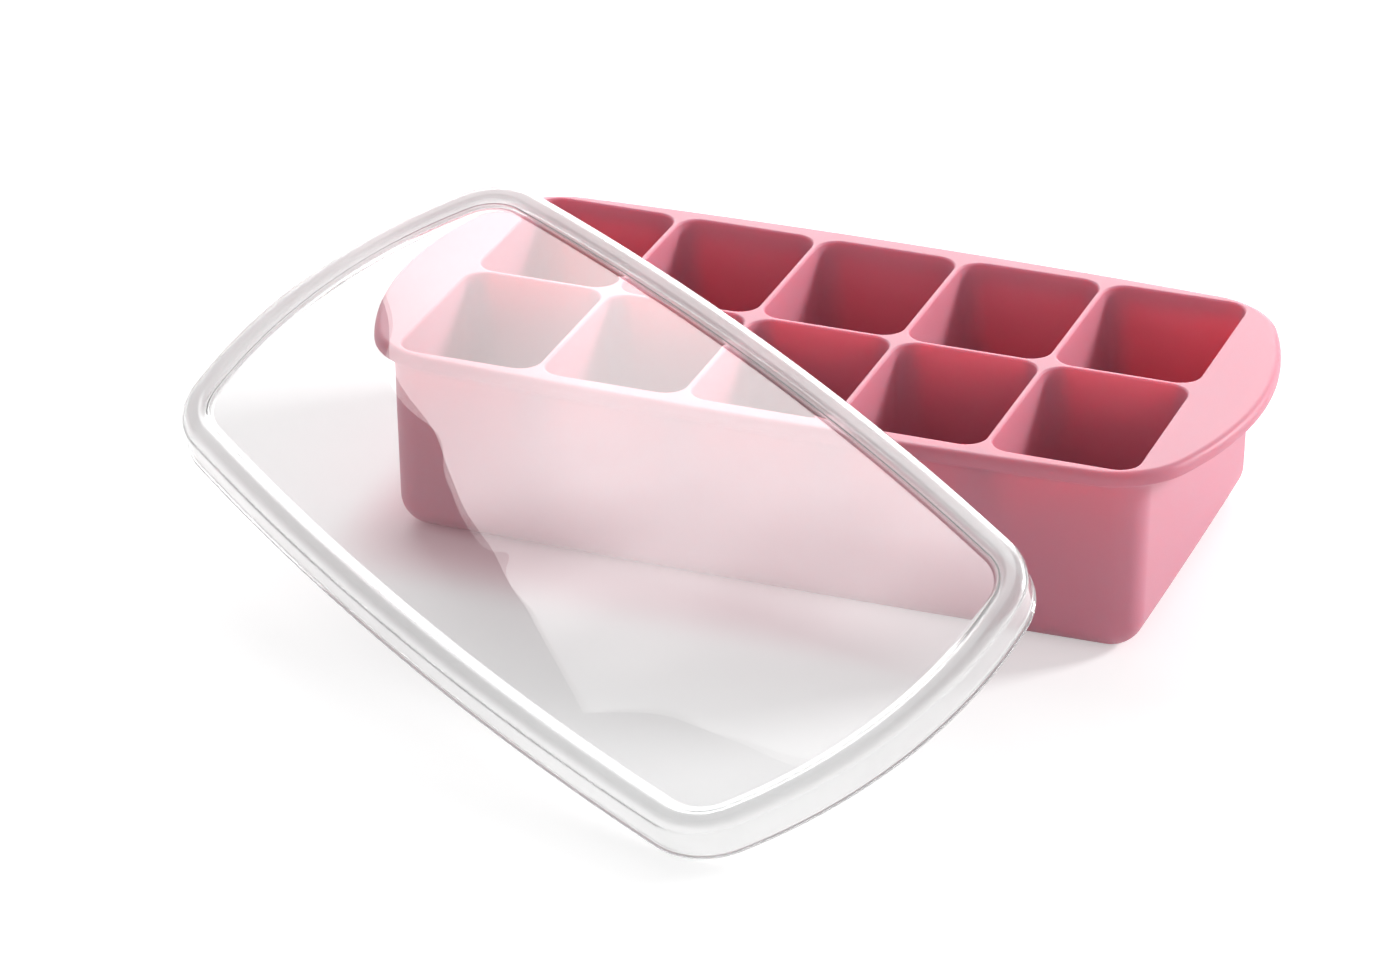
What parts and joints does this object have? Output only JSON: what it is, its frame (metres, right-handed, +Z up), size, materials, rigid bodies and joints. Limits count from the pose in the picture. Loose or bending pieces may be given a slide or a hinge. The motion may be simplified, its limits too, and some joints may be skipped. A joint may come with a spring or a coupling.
{
  "type": "baby food freezer tray",
  "caption": "Soft silicone freezer tray with two rows of deep square cups and wide end grips, for portions of baby food, and a clear lid that leans on its rim.",
  "frame": {"origin": "centre of the tray's flat base, on the surface it stands on", "axes": "+X along the tray's five columns, +Y across its two rows, away from the side that the lid leans on, +Z up"},
  "size_m": [0.2526, 0.2329, 0.0741],
  "materials": {
    "silicone": "matte pink food-grade silicone, smooth, slightly translucent at thin edges",
    "clear_plastic": "clear glossy moulded plastic"
  },
  "bodies": {
    "tray": {"tray": "silicone"},
    "lid": {"lid": "clear_plastic"}
  },
  "joints": [
    {"name": "lid_lift", "type": "slide", "parent": "tray", "child": "lid", "axis": [0, 0, 1], "range_m": [0, 0.08]}
  ]
}
